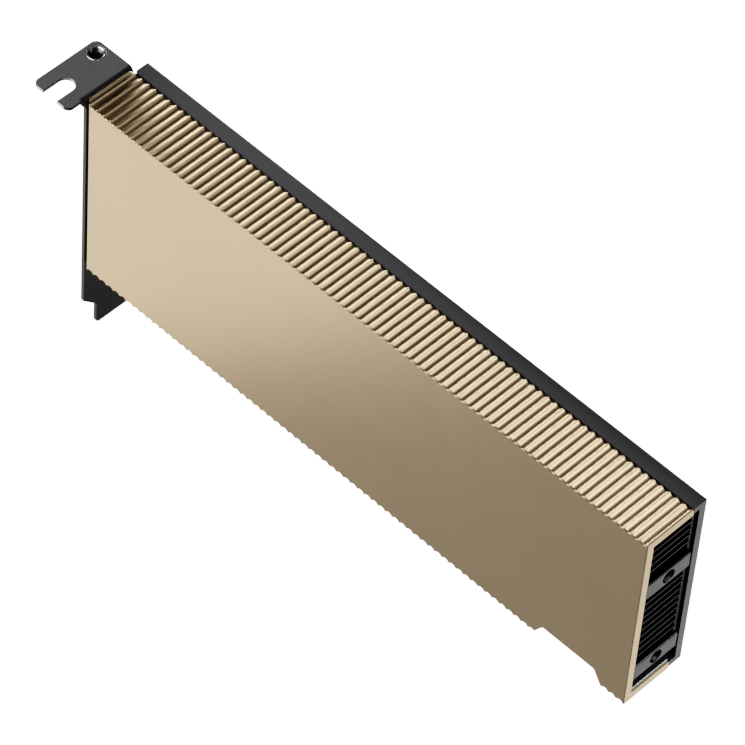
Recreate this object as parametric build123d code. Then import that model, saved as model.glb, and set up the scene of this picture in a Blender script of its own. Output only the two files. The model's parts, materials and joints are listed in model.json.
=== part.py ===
from build123d import *
import math
import os

# The card stands on its lower edge as it does in a slot, all sizes in millimetres.
# x runs from the bracket's outer face to the tail, y from the middle of the bracket to the back
# cover, z up from the lower edge of the back cover. The front face looks along -y.

# Bracket, folded from steel sheet
bracket_t = 0.86
bracket_w = 18.42
bracket_h = 79.20
tab_drop = 0.1                # top of the tab below the shell's upper crests
bend_r = 0.45
tongue_w = 10.19
tongue_h = 6.9
tongue_corner = 1.2
shoulder_h = 4.1
fold_overhang = 1.2           # fold ahead of the sheet's front edge
fold_taper = 1.6
tab_reach = 11.7              # from the bracket's inner face
tab_w = 19.2
tab_overhang = 5.05           # tab ahead of the sheet's front edge
tab_corner = 1.7
prong_gap = 0.45
prong_corner = 1.5
slot_w = 4.42
slot_reach = 6.25             # slot's middle from the bracket's inner face
slot_depth = 6.95
rear_step = 4.0               # sheet behind the fold is this much lower than the tab

# Vents through the bracket
vent_w = 2.9
vent_wall = 0.7
vent_columns = 4
vent_bottom = 13.5
vent_drop = 2.8                # highest middle below the step behind the fold

# Blind threaded insert in the tab
insert_inset = 3.0            # from the tab's far and back edges
insert_r = 2.3
insert_barrel_r = 2.1
insert_depth = 2.6
insert_bore_r = 1.75
insert_floor = 0.8
insert_rim = 0.22

# Front shell, a channel milled from aluminium, fluted along both long edges
card_length = 167.65          # from the bracket's inner face to the tail
shell_gap = 1.2
shell_top = 54.9              # upper crests above the cover's lower edge
lower_crest = 0.45            # lower crests below the cover's lower edge
shell_overhang = 0.70         # front face ahead of the bracket's front edge
shell_depth = 18.08           # front face to the back of the cover
front_wall = 2.1
top_wall = 2.05
bottom_wall = 2.3
flute_pitch = 2.154
flute_depth = 0.55
crest_w = 0.30
first_land = 0.57
last_land = 0.30
edge_chamfer = 0.28

# Notch in the shell's lower edge
notch_to_tail = 7.05
notch_w = 19.25
notch_top_w = 15.1
notch_h = 3.25
notch_corner = 0.6

# Back cover
cover_wall = 2.03
cover_top_wall = 1.65
cover_bottom_wall = 1.8
seam = 0.12
strip_corner = 0.7
pocket_depth = 1.25
pocket_left = 28.0            # from the bracket's inner face
pocket_right = 5.0            # inside the board's tail end
pocket_below = 1.6            # below the lowest memory chips
pocket_above = 0.4            # above the highest memory chips
pocket_corner = 2.0

# Circuit board
board_t = 1.57
board_start = 1.6             # from the bracket's inner face
board_tail_gap = 16.65        # from the board's end to the tail
board_top_gap = 2.3           # below the shell's upper crests
board_seam = 0.15             # from the shell's back edge to the board
board_play = 0.06             # from the board to the insulating film
card_h = 68.90                # edge contacts to the shell's upper crests
tongue_drop = 8.25            # edge tongue below the board
key_reach = 57.15             # key notch from the bracket's inner face
key_w = 1.9
key_depth = 7.0
left_tongue = 11.65
right_tongue = 71.65
bevel_depth = 1.2
bevel_w = 0.45
tongue_bevel = 0.5
hook_gap = 4.2
hook_w = 5.6
hook_h = 6.6
hook_bite = 2.0
hook_bevel = 0.8

# Edge contacts
contact_pitch = 1.0
contact_w = 0.70
contact_h = 4.6
contact_t = 0.05
contact_inset = 1.3

# Bars at both ends, between shell and cover
bar_h = 4.8
lower_bar_z = 8.6
upper_bar_z = 36.8
bar_depth = 9.0
bar_chamfer = 0.25
cover_gap = 0.30              # bars and fin base stay this far from the cover
seat_r = 2.3
tail_hole_r = 1.25
tail_hole_depth = 7.0
tail_hole_sink_r = 1.9
tail_hole_y = 9.0             # from the front face
foot_t = 0.8
foot_setback = 0.25
foot_gap = 0.6
foot_nose = 0.35
block_length = 13.0

# Fins, folded from thin sheet
fin_t = 0.30
fin_pitch = 2.27
fin_gap = 0.30                # behind the front wall
fin_start = 5.0               # from the bracket's inner face
fin_setback = 0.65            # from the tail
fin_bend = 0.55
fin_slit = 0.30               # between one foot and the next fin
lower_fin_rise = 2.1          # first fin above the lower bar
upper_fin_rise = 3.4          # first fin above the upper bar
fin_headroom = 0.5
deep_fin_gap = 1.0            # from the board's end to the deep end of the fins
tail_base_t = 0.75
tail_base_margin = 0.25

# Processor and what cools it
processor_reach = 72.0        # from the bracket's inner face
substrate_side = 33.0
substrate_t = 1.2
die_w = 20.0
die_h = 15.0
die_t = 0.6
film_t = 0.1
stiffener_w = 2.4
stiffener_t = 0.4
base_t = 2.0
base_margin = 2.0             # past the memory chips, and short of the inductors
base_rim = 0.4
plate_corner = 1.5
boss_gap = 0.5                # beside the processor's substrate
boss_z = 16.0
boss_r = 2.2
heatsink_screw_r = 0.9
heatsink_hole_floor = 0.6
heatsink_head_r = 2.0
heatsink_head_t = 0.5
backing_t = 0.5
backing_rim = 4.6
backing_margin = 0.3
backing_clear = 0.03

# Chips and small parts
memory_gap = 0.6              # beside the heatsink's bosses
memory_w = 14.0
memory_h = 12.0
memory_t = 1.1
memory_row_gap = 1.2
stage_gap = 3.0               # beside the memory chips
stage_side = 5.0
stage_t = 1.0
inductor_gap = 5.0            # beside the power stages
inductor_side = 6.0
inductor_t = 3.0
inductor_bevel = 0.6
phase_count = 6
phase_pitch = 6.8
phase_margin = 0.6            # below the board's upper edge
capacitor_start = 66.0        # from the bracket's inner face
capacitor_margin = 1.0        # short of the standoff at the tail
capacitor_pitch = 10.0
capacitor_z = 4.8
capacitor_w = 7.3
capacitor_h = 3.6
capacitor_t = 2.0
decoupler_columns = 6
decoupler_rows = 4
decoupler_pitch = 3.4
decoupler_w = 1.6
decoupler_h = 0.8
decoupler_t = 0.7
# Middle from the bracket's inner face, middle height, width, height, thickness
bracket_end_chips = (
    (19.0, 21.0, 7.0, 7.0, 0.9),
    (25.0, 28.0, 4.0, 4.0, 0.9),
    (18.0, 30.5, 6.0, 5.0, 1.4),
    (25.5, 16.0, 3.2, 2.5, 0.8),
    (21.0, 46.5, 5.0, 5.0, 0.9),
)
# Middle from the board's tail end, middle height, width, height, thickness
tail_end_chips = (
    (4.0, 18.0, 5.0, 6.0, 0.9),
    (4.0, 29.0, 5.0, 4.0, 1.0),
    (4.0, 45.0, 4.0, 5.0, 1.2),
)

# Fasteners
cover_screw_r = 1.15
cover_head_r = 2.2
cover_screw_bite = 4.0
thread_clear = 0.05
hole_clear = 0.2
socket_w = 1.5
socket_depth = 0.7
block_screw_reach = 8.0
bar_screw_reach = 4.6
standoff_w = 4.5
standoff_z = 7.0
standoff_reach = 54.0         # from the bracket's inner face
standoff_inset = 10.0         # from the board's tail end
bracket_screw_r = 1.15
bracket_head_r = 2.0
bracket_screw_length = 7.0
bracket_screw_y = 8.0         # from the front face

# Insulating film
insulator_t = 0.12
insulator_margin = 0.6

# Planes along the card
inner_x = bracket_t
shell_x = inner_x + shell_gap
tail_x = inner_x + card_length
board_x = inner_x + board_start
board_end_x = tail_x - board_tail_gap
processor_x = inner_x + processor_reach
notch_end_x = tail_x - notch_to_tail

# Planes from the front face to the back
front_y = -bracket_w / 2 - shell_overhang
channel_y = front_y + front_wall
back_y = front_y + shell_depth
cover_y = back_y - cover_wall
pocket_y = cover_y + pocket_depth
board_back_y = cover_y - insulator_t - board_play
board_y = board_back_y - board_t
channel_back_y = board_y - board_seam
base_back_y = board_y - substrate_t - die_t - film_t
base_y = base_back_y - base_t
bar_back_y = cover_y - cover_gap
deep_root_y = bar_back_y - tail_base_t

# Heights
channel_top = shell_top - top_wall
channel_bottom = bottom_wall - lower_crest
board_top = shell_top - board_top_gap
contact_edge = shell_top - card_h
board_bottom = contact_edge + tongue_drop
bracket_rise = shell_top - tab_drop
bracket_bottom = bracket_rise - bracket_h
vent_top = bracket_rise - rear_step - vent_drop
lower_bar_top = lower_bar_z + bar_h / 2
upper_bar_top = upper_bar_z + bar_h / 2
upper_bar_bottom = upper_bar_z - bar_h / 2
first_lower_fin = lower_bar_top + lower_fin_rise
first_upper_fin = upper_bar_top + upper_fin_rise
lower_fin_count = int((upper_bar_bottom - fin_headroom - fin_t - first_lower_fin) / fin_pitch) + 1
upper_fin_count = int((channel_top - fin_headroom - fin_t - first_upper_fin) / fin_pitch) + 1

# Places beside the processor, from its middle, and its height on the board
boss_x = substrate_side / 2 + boss_gap + boss_r
memory_x = boss_x + boss_r + memory_gap + memory_w / 2
stage_x = memory_x + memory_w / 2 + stage_gap + stage_side / 2
inductor_x = stage_x + stage_side / 2 + inductor_gap + inductor_side / 2
phase_rise = (phase_count - 1) / 2 * phase_pitch
processor_z = board_top - phase_margin - inductor_side / 2 - phase_rise
memory_pitch = memory_h + memory_row_gap
pocket_bottom = processor_z - memory_pitch - memory_h / 2 - pocket_below
pocket_top = processor_z + memory_pitch + memory_h / 2 + pocket_above

# Places of the screws through the cover
bar_heights = (lower_bar_z, upper_bar_z)
block_screws = [(inner_x + block_screw_reach, z) for z in bar_heights]
bar_screws = [(tail_x - bar_screw_reach, z) for z in bar_heights]
standoff_screws = [(x, standoff_z) for x in (inner_x + standoff_reach, board_end_x - standoff_inset)]


def block(x0, x1, y0, y1, z0, z1):
    """Box between two corners."""
    middle = Pos((x0 + x1) / 2, (y0 + y1) / 2, (z0 + z1) / 2)
    return middle * Box(x1 - x0, y1 - y0, z1 - z0)


def slab(face_points, y0, y1, corner=0.0):
    """Plate between two planes across the card, from an outline of x and z points."""
    outline = make_face(Polyline(*[(x, 0, z) for x, z in face_points], close=True))
    if corner:
        outline = fillet(outline.vertices(), corner)
    return Pos(0, y1, 0) * extrude(outline, y1 - y0, dir=(0, -1, 0))


def rectangle(x0, x1, z0, z1):
    return [(x0, z0), (x1, z0), (x1, z1), (x0, z1)]


def rod_x(x0, x1, y, z, r):
    return Pos((x0 + x1) / 2, y, z) * Rot(0, 90, 0) * Cylinder(r, x1 - x0)


def rod_y(x, y0, y1, z, r):
    return Pos(x, (y0 + y1) / 2, z) * Rot(90, 0, 0) * Cylinder(r, y1 - y0)


def rod_z(x, y, z0, z1, r):
    return Pos(x, y, (z0 + z1) / 2) * Cylinder(r, z1 - z0)


def sink_y(x, y, z, r):
    """Cone for a countersunk head whose wide end lies in the plane y."""
    return Pos(x, y - r / 2, z) * Rot(-90, 0, 0) * Cone(0.001, r, r)


def sink_x(x, y, z, r, toward):
    """Cone for a countersink whose wide end lies in the plane x and looks along toward."""
    return Pos(x - toward * r / 2, y, z) * Rot(0, toward * 90, 0) * Cone(0.001, r, r)


def cover_screw_places():
    return block_screws + bar_screws + standoff_screws


def flute_edges(z_crest, inward):
    """Crests and hollows of one fluted edge, as edges from the bracket end to the tail."""
    start = shell_x + first_land
    span = tail_x - last_land - start + crest_w
    count = round(span / flute_pitch)
    pitch = span / count
    edges = [Line((shell_x, 0, z_crest), (start, 0, z_crest))]
    for index in range(count):
        x0 = start + index * pitch
        x1 = x0 + pitch - crest_w
        valley = ((x0 + x1) / 2, 0, z_crest + inward * flute_depth)
        edges.append(ThreePointArc((x0, 0, z_crest), valley, (x1, 0, z_crest)))
        x2 = min(x1 + crest_w, tail_x) if index < count - 1 else tail_x
        edges.append(Line((x1, 0, z_crest), (x2, 0, z_crest)))
    return edges


def bevel_section(across, along, toward_across, toward_along):
    """Five corners that cover everything outside a broken edge."""
    near = across - toward_across * edge_chamfer
    low = along - toward_along * edge_chamfer
    corners = [(near, along), (near, along + toward_along)]
    corners += [(across + toward_across, along + toward_along)]
    return corners + [(across + toward_across, low), (across, low)]


def bevel_cut(y, z, toward_y, toward_z):
    """Prism along the card that breaks the edge at y and z."""
    corners = [(shell_x - 1, py, pz) for py, pz in bevel_section(y, z, toward_y, toward_z)]
    section = make_face(Polyline(*corners, close=True))
    return extrude(section, tail_x - shell_x + 2, dir=(1, 0, 0))


def end_bevel_cut(x, toward_x):
    """Prism up the front face that breaks its edge at one end of the shell."""
    corners = [(px, py, -lower_crest - 1) for px, py in bevel_section(x, front_y, toward_x, -1)]
    section = make_face(Polyline(*corners, close=True))
    return extrude(section, shell_top + lower_crest + 2, dir=(0, 0, 1))


def notch_cut():
    """Trapezoid through the lower edge, with rounded upper corners."""
    left = notch_end_x - notch_w
    slope = (notch_w - notch_top_w) / 2
    below = -lower_crest - 1
    spread = slope * (notch_h - below) / notch_h
    points = [(left + slope - spread, below), (notch_end_x - slope + spread, below)]
    points += [(notch_end_x - slope, notch_h), (left + slope, notch_h)]
    outline = make_face(Polyline(*[(x, 0, z) for x, z in points], close=True))
    outline = fillet(outline.vertices().sort_by(Axis.Z)[-2:], notch_corner)
    return Pos(0, channel_back_y + 1, 0) * extrude(outline, channel_back_y - front_y + 2, dir=(0, -1, 0))


def make_front_shell():
    lower = flute_edges(-lower_crest, 1)
    upper = flute_edges(shell_top, -1)
    left = Line((shell_x, 0, -lower_crest), (shell_x, 0, shell_top))
    right = Line((tail_x, 0, -lower_crest), (tail_x, 0, shell_top))
    outline = make_face(Wire([*lower, right, *upper, left]))
    body = Pos(0, channel_back_y, 0) * extrude(outline, channel_back_y - front_y, dir=(0, -1, 0))
    body -= block(shell_x - 1, tail_x + 1, channel_y, channel_back_y + 1, channel_bottom, channel_top)
    body -= bevel_cut(front_y, shell_top, -1, 1)
    body -= bevel_cut(front_y, -lower_crest, -1, -1)
    body -= bevel_cut(channel_back_y, shell_top, 1, 1)
    body -= end_bevel_cut(shell_x, -1)
    body -= end_bevel_cut(tail_x, 1)
    return body - notch_cut()


def make_back_cover():
    strip_y = channel_back_y + seam
    wall = block(shell_x, tail_x, cover_y, back_y, 0, shell_top)
    strip = block(shell_x, tail_x, strip_y, back_y, shell_top - cover_top_wall, shell_top)
    strip = fillet(strip.edges().filter_by(Axis.Z).sort_by(Axis.X)[:2].sort_by(Axis.Y)[0], strip_corner)
    lip_x = board_end_x + insulator_margin
    lip = block(lip_x, tail_x, strip_y, back_y, 0, cover_bottom_wall)
    pocket = slab(
        rectangle(inner_x + pocket_left, board_end_x - pocket_right, pocket_bottom, pocket_top),
        cover_y - 1, pocket_y, pocket_corner)
    cover = wall + strip + lip - pocket
    for x, z in cover_screw_places():
        cover -= rod_y(x, cover_y - 1, back_y + 1, z, cover_screw_r + hole_clear)
        cover -= sink_y(x, back_y, z, cover_head_r + thread_clear)
    return cover


def sheet_outline():
    """Outline of the bracket's upright sheet, as y and z points, without the rear step."""
    half = bracket_w / 2
    narrow = tongue_w / 2
    tongue_top = bracket_bottom + tongue_h
    fold_z = bracket_rise - bend_r - bracket_t
    shoulder = tongue_top + shoulder_h
    front = [(-narrow, tongue_top), (-half, shoulder), (-half, fold_z - fold_taper)]
    front += [(-half - fold_overhang, fold_z), (tab_w - tab_overhang - half, fold_z)]
    rear = [(tab_w - tab_overhang - half, bracket_rise - rear_step), (half, bracket_rise - rear_step)]
    rear += [(half, shoulder), (narrow, tongue_top)]
    return [(-narrow, bracket_bottom)] + front + rear + [(narrow, bracket_bottom)]


def make_sheet():
    points = [(0, y, z) for y, z in sheet_outline()]
    outline = make_face(Polyline(*points, close=True))
    corners = outline.vertices().sort_by(Axis.Z)[:2]
    outline = fillet(corners, tongue_corner)
    return extrude(outline, bracket_t, dir=(1, 0, 0))


def make_fold():
    """Quarter bend from the sheet to the tab."""
    outer = bend_r + bracket_t
    x = bracket_t - outer
    z = bracket_rise - outer
    y0 = -bracket_w / 2 - fold_overhang
    length = tab_w - tab_overhang + fold_overhang
    axis = Pos(x, y0 + length / 2, z) * Rot(90, 0, 0)
    ring = axis * (Cylinder(outer, length) - Cylinder(bend_r, length + 1))
    return ring & block(x, x + outer, y0 - 1, y0 + length + 1, z, z + outer)


def make_tab():
    """Flat tab with a slot between two prongs; the near prong stops short of the fold."""
    z0 = bracket_rise - bracket_t
    far_x = inner_x - tab_reach
    fold_x = inner_x - bend_r - bracket_t
    near_x = inner_x - prong_gap
    y0 = -bracket_w / 2 - tab_overhang
    y1 = y0 + tab_w
    fold_y = -bracket_w / 2 - fold_overhang
    points = [(far_x, y0), (near_x, y0), (near_x, fold_y), (fold_x, fold_y), (fold_x, y1), (far_x, y1)]
    outline = make_face(Polyline(*[(x, y, 0) for x, y in points], close=True))
    front = outline.vertices().sort_by(Axis.Y)[:2]
    outline = fillet(front, prong_corner)
    rear = outline.vertices().group_by(Axis.Y)[-1].sort_by(Axis.X)[0]
    outline = fillet(rear, tab_corner)
    slot_x = inner_x - slot_reach
    slot_end = y0 + slot_depth - slot_w / 2
    slot = Pos(slot_x, (y0 - 5 + slot_end) / 2) * Rectangle(slot_w, slot_end - y0 + 5)
    outline -= slot + Pos(slot_x, slot_end) * Circle(slot_w / 2)
    outline -= Pos(*insert_place()) * Circle(insert_r)
    return Pos(0, 0, z0) * extrude(outline, bracket_t, dir=(0, 0, 1))


def insert_place():
    y1 = -bracket_w / 2 - tab_overhang + tab_w
    return inner_x - tab_reach + insert_inset, y1 - insert_inset


def vent_places():
    """Middles of the hexagonal vents, staggered row by row, clear of the bracket's screws."""
    pitch = vent_w + vent_wall
    row_pitch = pitch * math.sqrt(3) / 2
    screw_y = front_y + bracket_screw_y
    reach = bracket_head_r + vent_w / 2 + vent_wall
    places = []
    rows = int((vent_top - vent_bottom) / row_pitch) + 1
    for row in range(rows):
        z = vent_bottom + row * row_pitch
        for column in range(vent_columns - row % 2):
            y = (column - (vent_columns - 1 - row % 2) / 2) * pitch
            if math.hypot(y - screw_y, z - upper_bar_z) > reach:
                places.append((y, z))
    return places


def make_bracket():
    bracket = make_sheet() + make_fold() + make_tab()
    corner_r = vent_w / math.sqrt(3)
    vent = Rot(0, 90, 0) * extrude(RegularPolygon(corner_r, 6), bracket_t + 1, both=True)
    bracket -= [Pos(0, y, z) * vent for y, z in vent_places()]
    for z in (lower_bar_z, upper_bar_z):
        y = front_y + bracket_screw_y
        bracket -= rod_x(-1, bracket_t + 1, y, z, bracket_screw_r + hole_clear)
        bracket -= sink_x(0, y, z, bracket_head_r + thread_clear, -1)
    return bracket


def make_tab_insert():
    x, y = insert_place()
    top = bracket_rise
    collar = rod_z(x, y, top - bracket_t, top, insert_r)
    barrel = rod_z(x, y, top - insert_depth, top - bracket_t, insert_barrel_r)
    body = collar + barrel
    body -= rod_z(x, y, top - insert_depth + insert_floor, top + 1, insert_bore_r)
    mouth_r = insert_bore_r + insert_rim
    mouth = Pos(x, y, top - mouth_r / 2) * Cone(0.001, mouth_r, mouth_r)
    return body - mouth


def hook_points():
    """Retention hook on the board's lower edge, from the tongue's end towards the tail."""
    x0 = inner_x + key_reach + key_w / 2 + right_tongue + hook_gap
    x1 = x0 + hook_w
    tip = board_bottom - hook_h
    waist = board_bottom - hook_h / 2
    root = board_bottom + hook_gap
    points = [(x0, root), (x0, tip + hook_bevel), (x0 + hook_bevel, tip), (x1 + hook_bite, tip)]
    return points + [(x1 + hook_bite, waist), (x1, waist), (x1, root)]


def board_outline():
    left = inner_x + key_reach - key_w / 2 - left_tongue
    right = inner_x + key_reach + key_w / 2 + right_tongue
    bevel = tongue_bevel
    points = [(board_x, board_top), (board_x, board_bottom), (left, board_bottom)]
    points += [(left, contact_edge + bevel), (left + bevel, contact_edge)]
    points += [(right - bevel, contact_edge), (right, contact_edge + bevel), (right, board_bottom)]
    return points + [(board_end_x, board_bottom), (board_end_x, board_top)]


def make_board():
    board = slab(board_outline(), board_y, board_back_y) + slab(hook_points(), board_y, board_back_y)
    key_x = inner_x + key_reach
    board -= slab(
        rectangle(key_x - key_w / 2, key_x + key_w / 2, contact_edge - 1, contact_edge + key_depth),
        board_y - 1, board_back_y + 1)
    for y, side in ((board_y, 1), (board_back_y, -1)):
        z = contact_edge
        corner = [(y - side, z - 1), (y + side * bevel_w, z - 1), (y + side * bevel_w, z)]
        corner += [(y, z + bevel_depth), (y - side, z + bevel_depth)]
        section = make_face(Polyline(*[(board_x, py, pz) for py, pz in corner], close=True))
        hook_x = hook_points()[0][0]
        board -= extrude(section, hook_x - board_x, dir=(1, 0, 0))
    for x, z in block_screws + standoff_screws:
        board -= rod_y(x, board_y - 1, board_back_y + 1, z, cover_screw_r + hole_clear)
    for x, z in heatsink_screw_places():
        board -= rod_y(x, board_y - 1, board_back_y + 1, z, heatsink_screw_r + hole_clear)
    return board


def contact_places():
    """Left edges of the contacts, either side of the key notch."""
    key_left = inner_x + key_reach - key_w / 2
    key_right = inner_x + key_reach + key_w / 2
    side = (contact_pitch - contact_w) / 2
    left_count = int(left_tongue / contact_pitch)
    right_count = int(right_tongue / contact_pitch)
    left = [key_left - (index + 1) * contact_pitch + side for index in range(left_count)]
    right = [key_right + index * contact_pitch + side for index in range(right_count)]
    return left + right


def make_contacts(y0, y1):
    z0 = contact_edge + contact_inset
    return [block(x, x + contact_w, y0, y1, z0, z0 + contact_h) for x in contact_places()]


def bar(x0, x1, z):
    """Bar from the front wall almost to the cover, with broken edges."""
    body = block(x0, x1, channel_y, bar_back_y, z - bar_h / 2, z + bar_h / 2)
    return chamfer(body.edges(), bar_chamfer)


def make_tail_bar(z):
    body = bar(tail_x - bar_depth, tail_x, z)
    y = front_y + tail_hole_y
    body -= rod_x(tail_x - tail_hole_depth, tail_x + 1, y, z, tail_hole_r)
    body -= sink_x(tail_x, y, z, tail_hole_sink_r, 1)
    screw_x = tail_x - bar_screw_reach
    body += rod_y(screw_x, bar_back_y - 0.5, cover_y, z, seat_r)
    bite = cover_y - cover_screw_bite - thread_clear
    return body - rod_y(screw_x, bite, cover_y + 1, z, cover_screw_r + thread_clear)


def make_lower_tail_bar():
    """Bar with a web and a foot on the shell's lower wall."""
    body = make_tail_bar(lower_bar_z)
    x0 = notch_end_x + foot_gap
    x1 = tail_x - foot_setback
    foot = block(x0, x1, channel_y, channel_back_y - foot_setback, channel_bottom, channel_bottom + foot_t)
    nose = foot.edges().filter_by(Axis.Y).group_by(Axis.X)[-1].sort_by(Axis.Z)[-1]
    foot = fillet(nose, foot_nose)
    web = block(
        x0, x0 + foot_t, channel_y, channel_back_y - foot_setback,
        channel_bottom + foot_t / 2, lower_bar_z - bar_h / 2 + bar_chamfer)
    return body + foot + web


def make_bracket_block(z):
    """Block behind the bracket, between the front wall and the board."""
    x1 = inner_x + block_length
    body = block(inner_x, x1, channel_y, board_y, z - bar_h / 2, z + bar_h / 2)
    body = chamfer(body.edges().filter_by(Axis.Y), bar_chamfer)
    y = front_y + bracket_screw_y
    bite = bracket_screw_length + thread_clear
    body -= rod_x(inner_x - 1, bite, y, z, bracket_screw_r + thread_clear)
    bite_y = board_y - cover_screw_bite - thread_clear
    hole_x = inner_x + block_screw_reach
    return body - rod_y(hole_x, bite_y, board_y + 1, z, cover_screw_r + thread_clear)


def fin_section(root_y, x):
    """Section of one fin across the card: thin sheet with its root folded down to a foot."""
    y0 = channel_y + fin_gap
    foot = -(fin_pitch - fin_t - fin_slit)
    points = [(y0, 0), (root_y - fin_t, 0), (root_y - fin_t, foot)]
    points += [(root_y, foot), (root_y, fin_t), (y0, fin_t)]
    face = make_face(Polyline(*[(x, y, z) for y, z in points], close=True))
    outer = face.vertices().sort_by_distance((x, root_y, fin_t))[0]
    face = fillet(outer, fin_bend)
    inner = face.vertices().sort_by_distance((x, root_y - fin_t, 0))[0]
    return fillet(inner, fin_bend - fin_t)


def make_fin():
    """One fin, shallow over the board and deep past the board's end."""
    x0 = inner_x + fin_start
    deep_x = board_end_x + deep_fin_gap
    x1 = tail_x - fin_setback
    shallow = extrude(fin_section(base_y, x0), deep_x - x0, dir=(1, 0, 0))
    deep = extrude(fin_section(deep_root_y, deep_x), x1 - deep_x, dir=(1, 0, 0))
    return shallow + deep


def make_fin_stack(first, count):
    fin = make_fin()
    return [Pos(0, 0, first + index * fin_pitch) * fin for index in range(count)]


def make_tail_fin_base():
    """Plate behind the deep fins, cut out for the upper bar."""
    x0 = board_end_x + deep_fin_gap
    x1 = tail_x - fin_setback
    z0 = lower_bar_top + tail_base_margin
    z1 = channel_top - tail_base_margin
    plate = block(x0, x1, deep_root_y, bar_back_y, z0, z1)
    gap_x = tail_x - bar_depth - tail_base_margin
    low = upper_bar_bottom - tail_base_margin
    high = upper_bar_top + tail_base_margin
    return plate - block(gap_x, x1 + 1, deep_root_y - 1, bar_back_y + 1, low, high)


def heatsink_screw_places():
    signs = ((-1, -1), (1, -1), (-1, 1), (1, 1))
    return [(processor_x + a * boss_x, processor_z + b * boss_z) for a, b in signs]


def make_heatsink_base():
    z0 = first_lower_fin - fin_pitch + fin_t
    z1 = first_upper_fin + (upper_fin_count - 1) * fin_pitch + base_rim
    left = processor_x - memory_x - memory_w / 2 - base_margin
    right = processor_x + inductor_x - inductor_side / 2 - base_margin
    outline = rectangle(left, right, z0, z1)
    plate = slab(outline, base_y, base_back_y, plate_corner)
    for x, z in heatsink_screw_places():
        plate += rod_y(x, base_back_y - 0.5, board_y, z, boss_r)
        plate -= rod_y(x, base_y + heatsink_hole_floor, board_y + 1, z, heatsink_screw_r + thread_clear)
    return plate


def chip(x, z, w, h, y0, y1):
    return block(x - w / 2, x + w / 2, y0, y1, z - h / 2, z + h / 2)


def make_package_stiffener():
    """Frame around the edge of the processor's substrate."""
    y1 = board_y - substrate_t
    outer = chip(processor_x, processor_z, substrate_side, substrate_side, y1 - stiffener_t, y1)
    opening = substrate_side - 2 * stiffener_w
    return outer - chip(processor_x, processor_z, opening, opening, y1 - stiffener_t - 1, y1 + 1)


def memory_places():
    rows = (-memory_pitch, 0, memory_pitch)
    return [(processor_x + side * memory_x, processor_z + row) for side in (-1, 1) for row in rows]


def make_memory(y0, y1):
    return [chip(x, z, memory_w, memory_h, y0, y1) for x, z in memory_places()]


def phase_heights():
    return [processor_z - phase_rise + index * phase_pitch for index in range(phase_count)]


def make_phases(offset, side, y0, y1):
    return [chip(processor_x + offset, z, side, side, y0, y1) for z in phase_heights()]


def make_inductors():
    """Square moulded inductors with broken upright edges."""
    y0 = board_y - inductor_t
    bodies = make_phases(inductor_x, inductor_side, y0, board_y)
    return [chamfer(body.edges().filter_by(Axis.Y), inductor_bevel) for body in bodies]


def make_capacitors():
    first = inner_x + capacitor_start
    last = board_end_x - standoff_inset - standoff_w / math.sqrt(3) - capacitor_margin - capacitor_w / 2
    places = [first + index * capacitor_pitch for index in range(int((last - first) / capacitor_pitch) + 1)]
    y0 = board_y - capacitor_t
    return [chip(x, capacitor_z, capacitor_w, capacitor_h, y0, board_y) for x in places]


def make_decouplers():
    """Small capacitors on the back of the board, inside the backing plate's window."""
    bodies = []
    for column in range(decoupler_columns):
        x = processor_x + (column - (decoupler_columns - 1) / 2) * decoupler_pitch
        for row in range(decoupler_rows):
            z = processor_z + (row - (decoupler_rows - 1) / 2) * decoupler_pitch
            bodies.append(chip(x, z, decoupler_w, decoupler_h, board_back_y, board_back_y + decoupler_t))
    return bodies


def make_control_chips():
    near = [chip(inner_x + x, z, w, h, board_y - t, board_y) for x, z, w, h, t in bracket_end_chips]
    far = [chip(board_end_x - x, z, w, h, board_y - t, board_y) for x, z, w, h, t in tail_end_chips]
    return near + far


def make_backing_plate():
    """Spring steel frame on the back of the board, around the capacitors."""
    y0 = board_back_y + backing_clear
    half_w = boss_x + heatsink_head_r + backing_margin
    half_h = boss_z + heatsink_head_r + backing_margin
    outline = rectangle(
        processor_x - half_w, processor_x + half_w, processor_z - half_h, processor_z + half_h)
    plate = slab(outline, y0, y0 + backing_t, plate_corner)
    window = rectangle(
        processor_x - half_w + backing_rim, processor_x + half_w - backing_rim,
        processor_z - half_h + backing_rim, processor_z + half_h - backing_rim)
    plate -= slab(window, y0 - 1, y0 + backing_t + 1, plate_corner)
    for x, z in heatsink_screw_places():
        plate -= rod_y(x, y0 - 1, y0 + backing_t + 1, z, heatsink_screw_r + hole_clear)
    return plate


def socket(x, y, z):
    """Hexagonal drive socket that opens along +y in the plane y."""
    prism = extrude(RegularPolygon(socket_w / math.sqrt(3), 6), socket_depth)
    return Pos(x, y, z) * Rot(90, 0, 0) * prism


def make_heatsink_screws():
    screws = []
    seat = board_back_y + backing_clear + backing_t
    for x, z in heatsink_screw_places():
        head = rod_y(x, seat, seat + heatsink_head_t, z, heatsink_head_r)
        tip = base_y + heatsink_hole_floor + thread_clear
        shank = rod_y(x, tip, seat, z, heatsink_screw_r)
        recess = Pos(0, heatsink_head_t / 2, 0) * socket(x, seat + heatsink_head_t / 2, z)
        screws.append(head + shank - recess)
    return screws


def make_cover_screws():
    """Countersunk screws, flush with the back of the cover."""
    screws = []
    places = [(place, board_y) for place in block_screws + standoff_screws]
    places += [(place, cover_y) for place in bar_screws]
    for (x, z), seat in places:
        neck = back_y - cover_head_r + cover_screw_r
        shank = rod_y(x, seat - cover_screw_bite, neck, z, cover_screw_r)
        head = sink_y(x, back_y, z, cover_head_r)
        screws.append(head + shank - socket(x, back_y, z))
    return screws


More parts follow.
